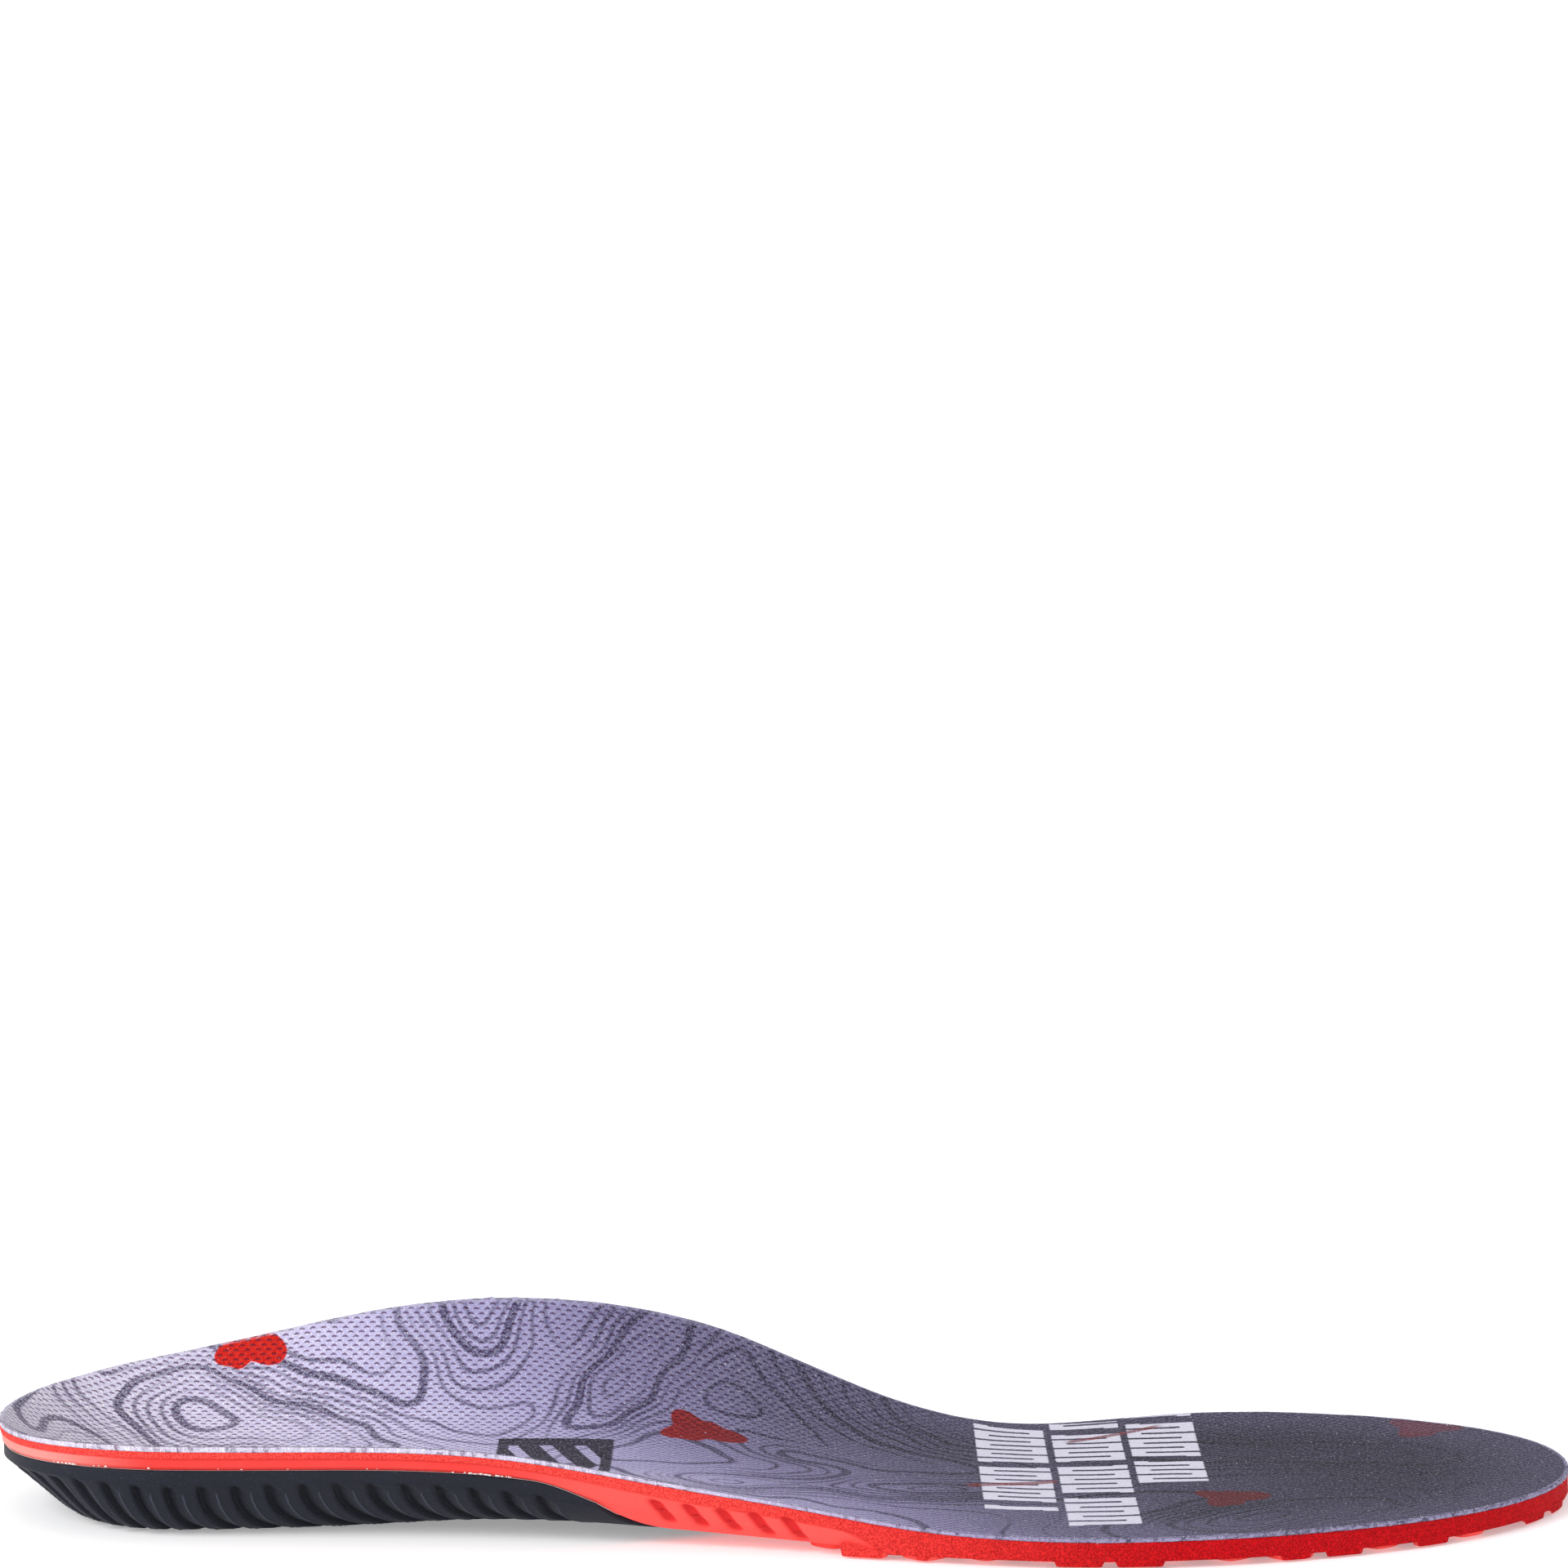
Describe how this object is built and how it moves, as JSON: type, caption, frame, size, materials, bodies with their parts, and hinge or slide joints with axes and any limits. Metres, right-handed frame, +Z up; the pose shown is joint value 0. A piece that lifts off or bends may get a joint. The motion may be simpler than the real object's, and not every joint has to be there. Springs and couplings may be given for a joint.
{
  "type": "cushioned insole",
  "caption": "Full-length cushioned shoe insole: knit top cover, moulded foam bed with a forefoot tread, and a firm heel and arch cradle with a heel pad.",
  "frame": {"origin": "on the floor, under the middle of the insole's bounding box", "axes": "+X to the toe, +Y to the inner (arch) side of a right foot, +Z up"},
  "size_m": [0.28, 0.0977, 0.0299],
  "materials": {
    "knit": "knit with printed contour lines",
    "hot_melt": "thin adhesive film",
    "foam": "open-cell foam, die-cut edge",
    "cement": "contact cement",
    "cradle_foam": "matte moulded EVA",
    "heel_gel": "soft satin"
  },
  "bodies": {
    "root": {"top_cover": "knit", "cover_bond": "hot_melt", "foam_bed": "foam", "cradle_bond": "cement", "support_cradle": "cradle_foam", "heel_pad": "heel_gel"}
  },
  "joints": []
}
